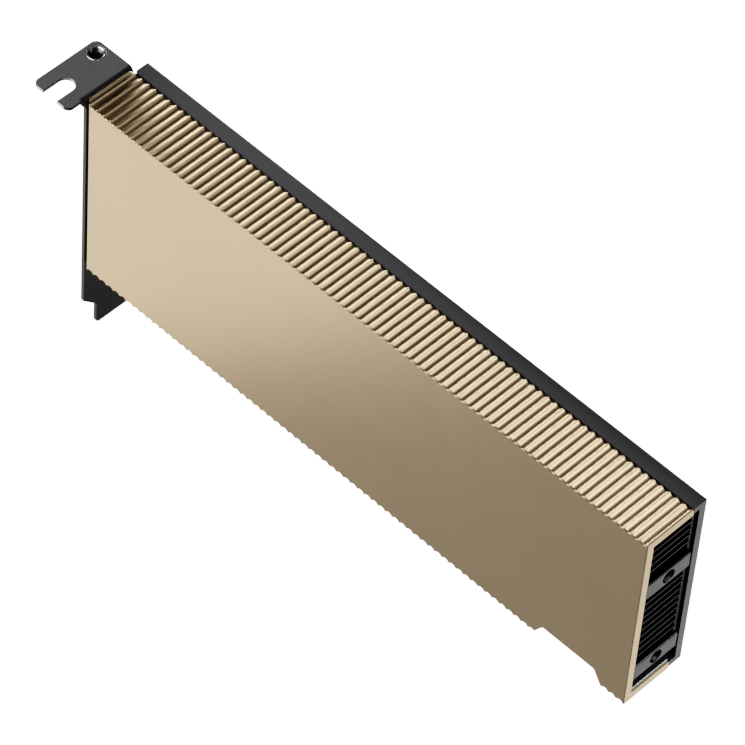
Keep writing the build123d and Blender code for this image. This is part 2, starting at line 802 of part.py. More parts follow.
def make_bracket_screws():
    """Countersunk screws, flush with the bracket's outer face."""
    screws = []
    y = front_y + bracket_screw_y
    for z in (lower_bar_z, upper_bar_z):
        head = sink_x(0, y, z, bracket_head_r, -1)
        shank = rod_x(bracket_head_r - bracket_screw_r, bracket_screw_length, y, z, bracket_screw_r)
        recess = Pos(0, y, z) * Rot(0, 90, 0) * extrude(
            RegularPolygon(socket_w / math.sqrt(3), 6), socket_depth)
        screws.append(head + shank - recess)
    return screws


def make_standoffs():
    """Hex pillars between the front wall and the board."""
    pillars = []
    for x, z in standoff_screws:
        prism = extrude(RegularPolygon(standoff_w / math.sqrt(3), 6), board_y - channel_y)
        pillar = Pos(x, board_y, z) * Rot(90, 0, 0) * prism
        bite = board_y - cover_screw_bite - thread_clear
        pillars.append(pillar - rod_y(x, bite, board_y + 1, z, cover_screw_r + thread_clear))
    return pillars


def make_insulating_film():
    """Thin film on the cover's rim, open where the cover is pocketed."""
    margin = insulator_margin
    outline = rectangle(board_x + margin, board_end_x - margin, cover_bottom_wall, board_top - margin)
    film = slab(outline, cover_y - insulator_t, cover_y)
    window = rectangle(inner_x + pocket_left, board_end_x - pocket_right, pocket_bottom, pocket_top)
    film -= slab(window, cover_y - 1, cover_y + 1, pocket_corner)
    for x, z in block_screws + standoff_screws:
        film -= rod_y(x, cover_y - 1, cover_y + 1, z, cover_screw_r + hole_clear)
    return film


substrate_y = board_y - substrate_t
die_y = substrate_y - die_t
memory_y = board_y - memory_t
back_memory_y = board_back_y + memory_t
stage_y = board_y - stage_t
inductor_y = board_y - inductor_t

nodes = {
    "front_shell": [make_front_shell()],
    "back_cover": [make_back_cover()],
    "io_bracket": [make_bracket()],
    "tab_insert": [make_tab_insert()],
    "upper_bracket_block": [make_bracket_block(upper_bar_z)],
    "lower_bracket_block": [make_bracket_block(lower_bar_z)],
    "bracket_screws": make_bracket_screws(),
    "circuit_board": [make_board()],
    "front_edge_contacts": make_contacts(board_y - contact_t, board_y),
    "back_edge_contacts": make_contacts(board_back_y, board_back_y + contact_t),
    "processor_substrate": [chip(
        processor_x, processor_z, substrate_side, substrate_side, substrate_y, board_y)],
    "package_stiffener": [make_package_stiffener()],
    "processor_die": [chip(processor_x, processor_z, die_w, die_h, die_y, substrate_y)],
    "thermal_film": [chip(processor_x, processor_z, die_w, die_h, base_back_y, die_y)],
    "front_memory_chips": make_memory(memory_y, board_y),
    "memory_pads": make_memory(base_back_y, memory_y),
    "back_memory_chips": make_memory(board_back_y, back_memory_y),
    "back_memory_pads": make_memory(back_memory_y, pocket_y),
    "power_stages": make_phases(stage_x, stage_side, stage_y, board_y),
    "power_stage_pads": make_phases(stage_x, stage_side, base_back_y, stage_y),
    "power_inductors": make_inductors(),
    "inductor_pads": make_phases(inductor_x, inductor_side, base_y, inductor_y),
    "input_capacitors": make_capacitors(),
    "decoupling_capacitors": make_decouplers(),
    "control_chips": make_control_chips(),
    "heatsink_base": [make_heatsink_base()],
    "lower_fin_stack": make_fin_stack(first_lower_fin, lower_fin_count),
    "upper_fin_stack": make_fin_stack(first_upper_fin, upper_fin_count),
    "tail_fin_base": [make_tail_fin_base()],
    "upper_tail_bar": [make_tail_bar(upper_bar_z)],
    "lower_tail_bar": [make_lower_tail_bar()],
    "backing_plate": [make_backing_plate()],
    "heatsink_screws": make_heatsink_screws(),
    "standoffs": make_standoffs(),
    "insulating_film": [make_insulating_film()],
    "cover_screws": make_cover_screws(),
}

os.makedirs("parts", exist_ok=True)
for name, solids in nodes.items():
    shape = solids[0] if len(solids) == 1 else Compound(children=solids)
    export_step(shape, f"parts/{name}.step")
    print(name, len(solids), round(sum(solid.volume for solid in solids), 2))
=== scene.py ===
import json
import math

import bmesh
import bpy
from mathutils import Matrix, Vector


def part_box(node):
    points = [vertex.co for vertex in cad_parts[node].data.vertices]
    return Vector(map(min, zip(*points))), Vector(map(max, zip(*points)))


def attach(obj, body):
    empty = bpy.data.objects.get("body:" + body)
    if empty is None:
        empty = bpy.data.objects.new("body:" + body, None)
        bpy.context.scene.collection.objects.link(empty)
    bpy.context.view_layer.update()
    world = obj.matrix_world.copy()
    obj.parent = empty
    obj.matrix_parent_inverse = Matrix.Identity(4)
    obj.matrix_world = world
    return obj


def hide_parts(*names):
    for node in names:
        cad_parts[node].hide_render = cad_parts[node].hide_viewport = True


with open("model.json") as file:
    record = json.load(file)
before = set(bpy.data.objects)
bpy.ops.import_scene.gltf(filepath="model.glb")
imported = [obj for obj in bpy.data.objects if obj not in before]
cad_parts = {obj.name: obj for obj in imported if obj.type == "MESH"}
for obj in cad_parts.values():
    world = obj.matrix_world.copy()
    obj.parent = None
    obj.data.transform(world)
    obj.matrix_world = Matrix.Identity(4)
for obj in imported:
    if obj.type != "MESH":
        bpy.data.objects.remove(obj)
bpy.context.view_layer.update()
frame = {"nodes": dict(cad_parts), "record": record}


# Front shell
# One channel milled from aluminium and anodised gold. Its long edges are fluted with a round
# cutter, 77 hollows to each, and every edge is broken. It carries the whole card.

MM = 0.001
shell_low, shell_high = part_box("front_shell")
flute_aim = 2.154 * MM
flute_depth = 0.55 * MM
crest = 0.30 * MM
crest_round = 0.30 * MM
first_land = 0.57 * MM
last_land = 0.30 * MM
front_wall = 2.1 * MM
top_wall = 2.05 * MM
bottom_wall = 2.3 * MM
edge_round = 0.30 * MM
lip_length = 1.10 * MM
lip_inset = 0.40 * MM
back_round = 0.50 * MM
notch_to_tail = 7.05 * MM
notch_width = 19.25 * MM
notch_slope = 2.075 * MM
notch_height = 3.25 * MM
notch_corner = 0.8 * MM
cuts_in_flute = 32
wall_margin = 0.1 * MM
notch_margin = 0.05 * MM
same_corner = 0.001 * MM
gold = (0.62, 0.465, 0.290)
gold_spread = 0.03
gold_blot = 7 * MM
gold_roughness = 0.225
hollow_dulling = 0.14
face_skin = 0.02 * MM
blasted_grain = 0.5 * MM
blasted_depth = 0.0006 * MM


class Wire:
    """An output socket of a node. Sums and products of wires and numbers add Math nodes."""

    def __init__(self, tree, socket=None):
        self.tree = tree
        self.socket = socket

    def node(self, kind, settings=None, inputs=None, output=0):
        """Add a node, apply its settings, then set or link its inputs, and give one output."""
        made = self.tree.nodes.new(kind)
        for name, value in (settings or {}).items():
            setattr(made, name, value)
        for key, value in (inputs or {}).items():
            if isinstance(value, Wire):
                self.tree.links.new(value.socket, made.inputs[key])
            else:
                made.inputs[key].default_value = value
        return Wire(self.tree, made.outputs[output])

    def also(self, output):
        """Another output of the same node."""
        return Wire(self.tree, self.socket.node.outputs[output])

    def into(self, socket):
        self.tree.links.new(self.socket, socket)

    def maths(self, operation, *values):
        return self.node("ShaderNodeMath", {"operation": operation}, dict(enumerate(values)))

    def __add__(self, other):
        return self.maths("ADD", self, other)

    def __radd__(self, other):
        return self.maths("ADD", other, self)

    def __sub__(self, other):
        return self.maths("SUBTRACT", self, other)

    def __rsub__(self, other):
        return self.maths("SUBTRACT", other, self)

    def __mul__(self, other):
        return self.maths("MULTIPLY", self, other)

    def __rmul__(self, other):
        return self.maths("MULTIPLY", other, self)

    def __truediv__(self, other):
        return self.maths("DIVIDE", self, other)

    def __rtruediv__(self, other):
        return self.maths("DIVIDE", other, self)

    def least(self, other):
        return self.maths("MINIMUM", self, other)

    def most(self, other):
        return self.maths("MAXIMUM", self, other)

    def over(self, other):
        """1 where this is more than the other, else 0."""
        return self.maths("GREATER_THAN", self, other)

    def between(self, start, end):
        """One tone where this is 0, and the other where it is 1. Each is a colour or a wire."""
        start, end = (tone if isinstance(tone, Wire) else (*tone, 1) for tone in (start, end))
        return self.node("ShaderNodeMix", {"data_type": "RGBA"}, {0: self, 6: start, 7: end}, output=2)


def new_finish(name, color, roughness, metallic):
    """A material with plain values on its shader, and its object coordinates as a wire."""
    material = bpy.data.materials.new(name)
    material.use_nodes = True
    shader = material.node_tree.nodes["Principled BSDF"]
    shader.inputs["Base Color"].default_value = (*color, 1)
    shader.inputs["Roughness"].default_value = roughness
    shader.inputs["Metallic"].default_value = metallic
    place = Wire(material.node_tree).node("ShaderNodeTexCoord", output="Object")
    return material, shader, place


def cloud(place, size, detail=2.0):
    """Soft noise from 0 to 1 whose blots are about this size."""
    return place.node("ShaderNodeTexNoise", {}, {"Vector": place, "Scale": 1 / size, "Detail": detail})


def stretched(place, along_x, along_y, along_z):
    """The same coordinates, drawn out by these factors."""
    scale = (1 / along_x, 1 / along_y, 1 / along_z)
    return place.node("ShaderNodeMapping", {}, {"Vector": place, "Scale": scale})


def relief(shader, height, depth):
    """Bump of this depth for a height from 0 to 1."""
    bump = height.node("ShaderNodeBump", {}, {"Height": height, "Distance": depth, "Strength": 1})
    bump.into(shader.inputs["Normal"])


def shades(color, spread):
    """The colour deeper and paler by this share of it."""
    return [tuple(part * (1 + change) for part in color) for change in (-spread, spread)]


def mottled(name, color, roughness, metallic, blot, grain, depth):
    """A finish a little uneven in tone and gloss over blots of this size, with a finer grain."""
    tone_spread = 0.05
    roughness_spread = 0.08
    material, shader, place = new_finish(name, color, roughness, metallic)
    cloud(place, blot * 2).between(*shades(color, tone_spread)).into(shader.inputs["Base Color"])
    uneven = cloud(place, blot) * roughness_spread + roughness - roughness_spread / 2
    uneven.into(shader.inputs["Roughness"])
    relief(shader, cloud(place, grain), depth)
    return material


def beyond(place, axis, limit):
    """1 where the place is past this limit along an axis, 0, 1 or 2, else 0."""
    return place.node("ShaderNodeSeparateXYZ", {}, {0: place}, output=axis).over(limit)


def gold_anodising():
    """Satin anodising over a finely blasted skin, a little duller in the cut hollows."""
    material, shader, place = new_finish("gold_anodising", gold, gold_roughness, 1.0)
    cloud(place, gold_blot * 2).between(*shades(gold, gold_spread)).into(shader.inputs["Base Color"])
    hollow = beyond(place, 1, shell_low.y + face_skin)
    uneven = cloud(place, gold_blot) * gold_spread + gold_roughness
    (uneven + hollow * hollow_dulling).into(shader.inputs["Roughness"])
    relief(shader, cloud(place, blasted_grain), blasted_depth)
    return material


def geometry_tree(name, sizes):
    """An empty geometry tree with one named input for each size, and those inputs as wires."""
    tree = bpy.data.node_groups.new(name, "GeometryNodeTree")
    tree.interface.new_socket("Outline", in_out="INPUT", socket_type="NodeSocketGeometry")
    for label, value in sizes.items():
        kind = "NodeSocketInt" if isinstance(value, int) else "NodeSocketFloat"
        tree.interface.new_socket(label, in_out="INPUT", socket_type=kind)
    tree.interface.new_socket("Mesh", in_out="OUTPUT", socket_type="NodeSocketGeometry")
    source = tree.nodes.new("NodeGroupInput")
    return tree, {socket.name: Wire(tree, socket) for socket in source.outputs if socket.name}


def close_tree(mesh, material):
    """End a geometry tree: real copies in place of instances, then the material."""
    real = mesh.node("GeometryNodeRealizeInstances", {}, {0: mesh})
    coated = real.node("GeometryNodeSetMaterial", {}, {0: real, "Material": material})
    coated.into(mesh.tree.nodes.new("NodeGroupOutput").inputs[0])


def new_piece(name, mesh):
    piece = bpy.data.objects.new(name, mesh)
    bpy.context.scene.collection.objects.link(piece)
    return piece


def settle(piece):
    """Make what the modifiers give the piece's own mesh."""
    seen = piece.evaluated_get(bpy.context.evaluated_depsgraph_get())
    mesh = bpy.data.meshes.new_from_object(seen)
    piece.modifiers.clear()
    piece.data = mesh


def soften(piece, degrees):
    """Shade smooth, apart from edges sharper than this, with flat faces kept flat."""
    piece.data.shade_smooth()
    piece.data.set_sharp_from_angle(angle=math.radians(degrees))
    piece.modifiers.new("flat_faces", "WEIGHTED_NORMAL").keep_sharp = True
    settle(piece)


def grow(name, outline, tree, sizes):
    """Run a geometry tree on an outline with these sizes, and keep the result as a plain mesh."""
    piece = new_piece(name, outline)
    modifier = piece.modifiers.new("shape", "NODES")
    modifier.node_group = tree
    for item in tree.interface.items_tree:
        if item.in_out == "INPUT" and item.name in sizes:
            modifier[item.identifier] = sizes[item.name]
    settle(piece)
    return piece


def loop_mesh(name, points):
    """A closed line through points across the card, given as y and z, for a sweep along x."""
    mesh = bpy.data.meshes.new(name)
    count = len(points)
    edges = [(index, (index + 1) % count) for index in range(count)]
    mesh.from_pydata([(-y, -z, 0) for y, z in reversed(points)], edges, [])
    return mesh


def rounded_corner(y, z, radius, start, turn=-90, steps=4):
    """Points of a round corner about y and z, from a start angle in degrees."""
    angles = [math.radians(start + turn * step / steps) for step in range(steps + 1)]
    return [(y + radius * math.cos(a), z + radius * math.sin(a)) for a in angles]


def shell_section():
    """Outline of the channel across the card, level with its crests."""
    front, back = shell_low.y, shell_high.y
    inner_y = front + front_wall
    roof = shell_high.z - top_wall
    ledge = shell_low.z + bottom_wall
    points = [(back, shell_low.z), (inner_y, shell_low.z)]
    points += rounded_corner(front + edge_round, shell_low.z + edge_round, edge_round, 270)
    points += rounded_corner(front + edge_round, shell_high.z - edge_round, edge_round, 180)
    points += rounded_corner(back - back_round, shell_high.z - back_round, back_round, 90)
    return points + [(back, roof), (inner_y, roof), (inner_y, ledge), (back, ledge)]


def flute_hollow(x, size):
    """Depth of the round hollows at x, with a smooth lip at each crest."""
    reach = size["Pitch"] - size["Crest"]
    half = reach * 0.5
    radius = (half * half + size["Depth"] * size["Depth"]) / (size["Depth"] * 2)
    turns = (x - size["First flute"] + size["Crest"] * 0.5) / size["Pitch"]
    across = (turns.maths("FRACT", turns) - 0.5) * size["Pitch"]
    inside = (radius * radius - across * across).most(0)
    bare = inside.maths("SQRT", inside) - (radius - size["Depth"])
    depth = bare.maths("SMOOTH_MAX", bare, 0, size["Crest round"])
    return depth * x.over(size["First flute"]) * size["Last flute"].over(x)


def notch_edge(x, size):
    """Height of the notch's edge at x, with rounded upper corners."""
    across = x - size["Notch middle"]
    inset = size["Notch half"] - across.maths("ABSOLUTE", across)
    rise = inset * (size["Notch height"] / size["Notch slope"])
    return rise.maths("SMOOTH_MIN", rise, size["Notch height"], size["Notch corner"])


def rounded_end(along, radius):
    """How far a round edge of this radius falls back, this far along from the end."""
    inset = radius - along.least(radius)
    square = (radius * radius - inset * inset).most(0)
    return radius - square.maths("SQRT", square)


def fluted_shell_tree(sizes, material):
    tree, size = geometry_tree("fluted_shell", sizes)
    section = size["Outline"].node("GeometryNodeMeshToCurve", {}, {0: size["Outline"]})
    x0, x1 = size["Bracket end"] - size["Lip length"], size["Tail end"]
    start = x0.node("ShaderNodeCombineXYZ", {}, {0: x0})
    end = x1.node("ShaderNodeCombineXYZ", {}, {0: x1})
    line = start.node("GeometryNodeCurvePrimitiveLine", {}, {"Start": start, "End": end})
    path = line.node("GeometryNodeResampleCurve", {}, {0: line, "Count": size["Cuts"]})
    swept = path.node(
        "GeometryNodeCurveToMesh", {}, {"Curve": path, "Profile Curve": section, "Fill Caps": True})

    place = swept.node("GeometryNodeInputPosition")
    x = place.node("ShaderNodeSeparateXYZ", {}, {0: place})
    y, z = x.also(1), x.also(2)
    on_lip = size["Bracket end"].over(x)
    depth = flute_hollow(x, size) + on_lip * size["Lip inset"]
    notch = notch_edge(x, size)
    above = z.over(size["Roof"])
    below = size["Ledge"].over(z)
    lip = (z - size["Bottom"]).least(size["Edge round"]) * below
    fluted = (z - depth * above + depth * below).most(notch + lip)
    near = (size["Bracket end"] + size["Lip inset"] - x).most(0)
    far = rounded_end(x1 - x, size["Edge round"])
    moved = y.most(size["Front"] + near + far)
    target = x.node("ShaderNodeCombineXYZ", {}, {0: x, 1: moved, 2: fluted})
    shaped = swept.node("GeometryNodeSetPosition", {}, {0: swept, "Position": target})

    cut_through = notch.over(size["Ledge line"] + size["Half step"])
    gone = y.over(size["Wall"] + wall_margin) * (notch + notch_margin).over(z) * cut_through
    opened = shaped.node(
        "GeometryNodeDeleteGeometry", {"domain": "FACE"}, {0: shaped, "Selection": gone.over(0.5)})
    joined = opened.node("GeometryNodeMergeByDistance", {}, {0: opened, "Distance": same_corner})
    close_tree(joined, material)
    return tree


def make_front_shell():
    first = shell_low.x + first_land
    span = shell_high.x - last_land - first + crest
    pitch = span / round(span / flute_aim)
    sizes = {
        "Bracket end": shell_low.x,
        "Tail end": shell_high.x,
        "Cuts": round((shell_high.x - shell_low.x + lip_length) / pitch * cuts_in_flute) + 1,
        "Pitch": pitch,
        "Depth": flute_depth,
        "Crest": crest,
        "Crest round": crest_round,
        "First flute": first,
        "Last flute": first + span - crest,
        "Front": shell_low.y,
        "Bottom": shell_low.z,
        "Wall": shell_low.y + front_wall,
        "Roof": shell_high.z - top_wall + wall_margin,
        "Ledge": shell_low.z + bottom_wall - wall_margin,
        "Ledge line": shell_low.z + bottom_wall,
        "Half step": pitch / cuts_in_flute / 2 * notch_height / notch_slope,
        "Edge round": edge_round,
        "Lip length": lip_length,
        "Lip inset": lip_inset,
        "Notch middle": shell_high.x - notch_to_tail - notch_width / 2,
        "Notch half": notch_width / 2,
        "Notch height": notch_height,
        "Notch slope": notch_slope,
        "Notch corner": notch_corner,
    }
    tree = fluted_shell_tree(sizes, gold_anodising())
    piece = grow("fluted_shell", loop_mesh("shell_section", shell_section()), tree, sizes)
    soften(piece, degrees=42)
    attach(piece, "root")
    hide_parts("front_shell")


make_front_shell()


# Fins and the plate behind their deep ends
# Each fin is thin aluminium sheet with its root folded down to a foot, coated black before it is
# cut to length, so the cut ends are bare. The feet are soldered down. Past the board's end the
# fins are deeper, and their feet stand on a plate of their own.

fin_sheet = 0.30 * MM
fin_bend = 0.55 * MM
fin_foot = 1.67 * MM
fin_pitch = 2.27 * MM
fin_unevenness = 0.03 * MM
fin_black = (0.022, 0.023, 0.024)
fin_roughness = 0.34
cut_aluminium = (0.026, 0.028, 0.029)
cut_skin = 0.05 * MM
streak_width = 0.8 * MM
streak_stretch = 12
streak_dulling = 0.16
streak_depth = 0.01 * MM


def dress(finish, *nodes):
    """Give these CAD nodes a finish of the scene's own."""
    for node in nodes:
        slots = frame["nodes"][node].data.materials
        slots.clear()
        slots.append(finish)


def black_fin_coat():
    """Thin black coat with soft streaks along the sheet, and bare ends where it was cut."""
    material, shader, place = new_finish("black_fins", fin_black, fin_roughness, 0.0)
    bare = beyond(place, 0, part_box("lower_fin_stack")[1].x - cut_skin)
    bare.between(fin_black, cut_aluminium).into(shader.inputs["Base Color"])
    bare.into(shader.inputs["Metallic"])
    streaks = cloud(stretched(place, streak_stretch, 1, 1), streak_width)
    (streaks * streak_dulling + fin_roughness).into(shader.inputs["Roughness"])
    relief(shader, streaks, streak_depth)
    return material


def fin_profile(front, root):
    """Outline of one fin across the card, about its own underside."""
    inner = fin_bend - fin_sheet
    points = [(front, fin_sheet)]
    points += rounded_corner(root - fin_bend, fin_sheet - fin_bend, fin_bend, 90)
    points += [(root, -fin_foot), (root - fin_sheet, -fin_foot)]
    points += rounded_corner(root - fin_bend, -inner, inner, 0, turn=90, steps=3)
    return points + [(front, 0)]


def swept_between(profile, x0, x1):
    """A profile swept straight along the card from x0 to x1, with closed ends."""
    start = x0.node("ShaderNodeCombineXYZ", {}, {0: x0})
    end = x1.node("ShaderNodeCombineXYZ", {}, {0: x1})
    line = start.node("GeometryNodeCurvePrimitiveLine", {}, {"Start": start, "End": end})
    return line.node(
        "GeometryNodeCurveToMesh", {}, {"Curve": line, "Profile Curve": profile, "Fill Caps": True})


def fin_stack_tree(sizes, material):
    tree, size = geometry_tree("fin_stack", sizes)
    profile = size["Outline"].node("GeometryNodeMeshToCurve", {}, {0: size["Outline"]})
    shallow = swept_between(profile, size["Fin start"], size["Deep start"])
    level = swept_between(profile, size["Deep start"], size["Fin end"])
    place = level.node("GeometryNodeInputPosition")
    y = place.node("ShaderNodeSeparateXYZ", {}, {0: place}, output=1)
    at_root = y.over(size["Front half"])
    back = y.node("ShaderNodeCombineXYZ", {}, {1: at_root * size["Deeper by"]})
    deep = level.node("GeometryNodeSetPosition", {}, {0: level, "Offset": back})
    fin = shallow.node("GeometryNodeJoinGeometry")
    shallow.into(fin.socket.node.inputs[0])
    deep.into(fin.socket.node.inputs[0])

    first = size["First fin"].node("ShaderNodeCombineXYZ", {}, {2: size["First fin"]})
    step = size["Pitch"].node("ShaderNodeCombineXYZ", {}, {2: size["Pitch"]})
    row = first.node(
        "GeometryNodeMeshLine", {}, {"Count": size["Fins"], "Start Location": first, "Offset": step})
    low = size["Unevenness"] * -1
    shift = low.node(
        "FunctionNodeRandomValue", {"data_type": "FLOAT"},
        {2: low, 3: size["Unevenness"], "Seed": size["Seed"]}, output=1)
    lifted = shift.node("ShaderNodeCombineXYZ", {}, {2: shift})
    uneven = row.node("GeometryNodeSetPosition", {}, {0: row, "Offset": lifted})
    fins = uneven.node("GeometryNodeInstanceOnPoints", {}, {"Points": uneven, "Instance": fin})
    close_tree(fins, material)
    return tree


def make_fins():
    coat = black_fin_coat()
    deep_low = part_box("tail_fin_base")[0]
    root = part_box("heatsink_base")[0].y
    for seed, node in enumerate(("lower_fin_stack", "upper_fin_stack")):
        low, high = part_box(node)
        first = low.z + fin_foot
        sizes = {
            "Fin start": low.x,
            "Deep start": deep_low.x,
            "Fin end": high.x,
            "Front half": (low.y + root) / 2,
            "Deeper by": deep_low.y - root,
            "First fin": first,
            "Pitch": fin_pitch,
            "Fins": round((high.z - fin_sheet - first) / fin_pitch) + 1,
            "Unevenness": fin_unevenness,
            "Seed": seed,
        }
        tree = fin_stack_tree(sizes, coat)
        piece = grow(f"folded_{node}", loop_mesh("fin_profile", fin_profile(low.y, root)), tree, sizes)
        soften(piece, degrees=35)
        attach(piece, "root")
        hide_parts(node)
    dress(coat, "tail_fin_base")


make_fins()


# Tail bars and bracket blocks
# Four bars milled from plain aluminium stand across the channel, screwed to the shell, and the cover
# rests on them. The tail pair is drilled and tapped for a support bracket, and the lower one has a thin
# foot on the shell's ledge. The other pair carries the io bracket. Their rounded edges are painted paler
# as a painted highlight, and the foot is painted paler as painted light under the bar's shade.

bar_grey = (0.055, 0.056, 0.058)
bar_spread = 0.09
bar_blot = 5 * MM
bar_roughness = 0.30
bar_rounding = 0.09 * MM
line_stretch = (0.25, 40, 1)
line_width = 0.35 * MM
line_dulling = 0.14
line_depth = 0.006 * MM
foot_painted_light = (0.62, 0.625, 0.63)
foot_height = 3 * MM
same_point = 0.002 * MM
flat_within = 1
sharp_beyond = 30
thread_rise = 0.45 * MM
thread_height = 0.13 * MM
thread_steps = 24
tail_bore = 1.25 * MM
tail_bore_depth = 6.4 * MM


def bare_aluminium():
    """Plain milled aluminium with fine cutter lines from front to back, and the thin foot painted paler,
    as painted light where the bar above shades it.
    """
    material, shader, place = new_finish("bare_aluminium", bar_grey, bar_roughness, 1.0)
    tone = cloud(place, bar_blot).between(*shades(bar_grey, bar_spread))
    # The thin foot is painted paler: painted light on a foot that the bar above shades.
    foot = 1 - beyond(place, 2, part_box("lower_tail_bar")[0].z + foot_height)
    foot.between(tone, foot_painted_light).into(shader.inputs["Base Color"])
    lines = cloud(stretched(place, *line_stretch), line_width)
    (lines * line_dulling + bar_roughness).into(shader.inputs["Roughness"])
    relief(shader, lines, line_depth)
    return material


def refined(node, name, width, finishes, is_cut=None):
    """A copy of a node with whole flat faces and rounded edges, shown in the node's place. Its
    rounded edges get the last finish, and the faces that is_cut picks get the second."""
    mesh = frame["nodes"][node].data.copy()
    mesh.materials.clear()
    for finish in finishes:
        mesh.materials.append(finish)
    work = bmesh.new()
    work.from_mesh(mesh)
    bmesh.ops.remove_doubles(work, verts=work.verts, dist=same_point)
    bmesh.ops.dissolve_limit(
        work, angle_limit=math.radians(flat_within), verts=work.verts, edges=work.edges)
    work.normal_update()
    for face in work.faces:
        face.material_index = 1 if is_cut and is_cut(face) else 0
    work.to_mesh(mesh)
    work.free()
    piece = new_piece(name, mesh)
    rounding = piece.modifiers.new("rounded_edges", "BEVEL")
    rounding.width = width
    rounding.segments = 2
    rounding.limit_method = "ANGLE"
    rounding.angle_limit = math.radians(sharp_beyond)
    rounding.material = len(finishes) - 1
    settle(piece)
    soften(piece, sharp_beyond)
    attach(piece, "root")
    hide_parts(node)
    return piece


def thread_tree(sizes, material):
    """A three-sided ridge coiled along a hole, turned to lie along the card."""
    tree, size = geometry_tree("screw_thread", sizes)
    coil = size["Bore"].node("GeometryNodeCurveSpiral", {}, {
        "Resolution": thread_steps, "Rotations": size["Turns"], "Start Radius": size["Bore"],
        "End Radius": size["Bore"], "Height": size["Depth"]})
    ridge = coil.node("GeometryNodeCurvePrimitiveCircle", {"mode": "RADIUS"}, {
        "Resolution": 3, "Radius": size["Ridge"]})
    thread = coil.node("GeometryNodeCurveToMesh", {}, {"Curve": coil, "Profile Curve": ridge})
    turned = thread.node("GeometryNodeTransform", {}, {
        0: thread, "Rotation": (0, math.radians(-90), 0)})
    close_tree(turned, material)
    return tree


def make_thread(name, middle, bore, depth, rise, material):
    """Thread ridge in a hole that opens towards the tail."""
    sizes = {"Bore": bore, "Depth": depth, "Turns": depth / rise, "Ridge": thread_height}
    tree = thread_tree(sizes, material)
    piece = grow(name, bpy.data.meshes.new(name), tree, sizes)
    piece.data.transform(Matrix.Translation(middle))
    soften(piece, degrees=60)
    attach(piece, "root")


def make_bars():
    aluminium = bare_aluminium()
    # Rounded edges of the bars take a paler metal: a painted highlight.
    edge_highlight = mottled("painted_edge_highlight", (0.26, 0.262, 0.266), 0.30, 0.6, 2 * MM, 0.2 * MM, 0.003 * MM)
    for node in ("lower_tail_bar", "upper_tail_bar", "lower_bracket_block", "upper_bracket_block"):
        piece = refined(node, f"rounded_{node}", bar_rounding, [aluminium, edge_highlight])
    holes = next(mount for mount in frame["record"]["mounts"] if mount["name"] == "tail_threads")
    mouth = Vector(holes["pos_m"])
    half_spacing = holes["dims"]["spacing_y_mm"] * MM / 2
    for name, side in (("lower_tail_thread", -1), ("upper_tail_thread", 1)):
        middle = mouth + Vector((0, 0, side * half_spacing))
        make_thread(name, middle, tail_bore, tail_bore_depth, thread_rise, aluminium)


make_bars()


# Copper plate over the processor
# A thin vapour chamber in a copper shell, nickel free, pressed on the processor and the memory
# beside it. The shallow fins are soldered to its front, and four bosses take its screws.

def make_copper_plate():
    copper = mottled("copper", (0.66, 0.33, 0.20), 0.30, 1.0, 9 * MM, 0.2 * MM, 0.003 * MM)
    dress(copper, "heatsink_base")


make_copper_plate()


# Circuit board
# Glass laminate under a black mask, with plated contacts on its tongue. Copper runs show
# as low ridges under the mask, and the bare laminate shows on the cut edges.

board_low, board_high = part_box("circuit_board")
board_skin = 0.02 * MM
mask_black = (0.007, 0.011, 0.009)
mask_roughness = 0.26
laminate = (0.30, 0.25, 0.13)
laminate_roughness = 0.76
run_black = (0.013, 0.021, 0.017)
run_pitch = 0.9 * MM
run_gap = 0.62
run_height = 0.03 * MM
run_turn = -1 * MM
wander_length = 9 * MM
wander_lanes = 4
copper_area = 5 * MM
coupler_width = 0.50 * MM
coupler_length = 1.00 * MM
coupler_end = 0.22 * MM
coupler_tin = 0.03 * MM
coupler_pitch = 2.0 * MM
coupler_row_gap = 1.7 * MM
coupler_top = 2.6 * MM
coupler_lean = 1.5
rows_shorter = 16 * MM
rows_from_end = 1 * MM


def solder_mask():
    """Glossy mask with copper runs under it, and laminate where the board is cut. The runs lie
    along the card, and turn down to the contacts on the tongue."""
    material, shader, place = new_finish("solder_mask", mask_black, mask_roughness, 0.0)
    x = place.node("ShaderNodeSeparateXYZ", {}, {0: place})
    y, z = x.also(1), x.also(2)
    lanes = (z.over(run_turn) * (z - x) + x) / run_pitch + cloud(place, wander_length) * wander_lanes
    run = lanes.maths("FRACT", lanes).over(run_gap)
    raised = run.most(cloud(place, copper_area, detail=0.0).over(0.5))
    edge = y.over(board_low.y + board_skin) * y.maths("LESS_THAN", y, board_high.y - board_skin)
    edge.between(raised.between(mask_black, run_black), laminate).into(shader.inputs["Base Color"])
    (edge * (laminate_roughness - mask_roughness) + mask_roughness).into(shader.inputs["Roughness"])
    (1 - edge).into(shader.inputs["Coat Weight"])
    relief(shader, raised, run_height)
    return material


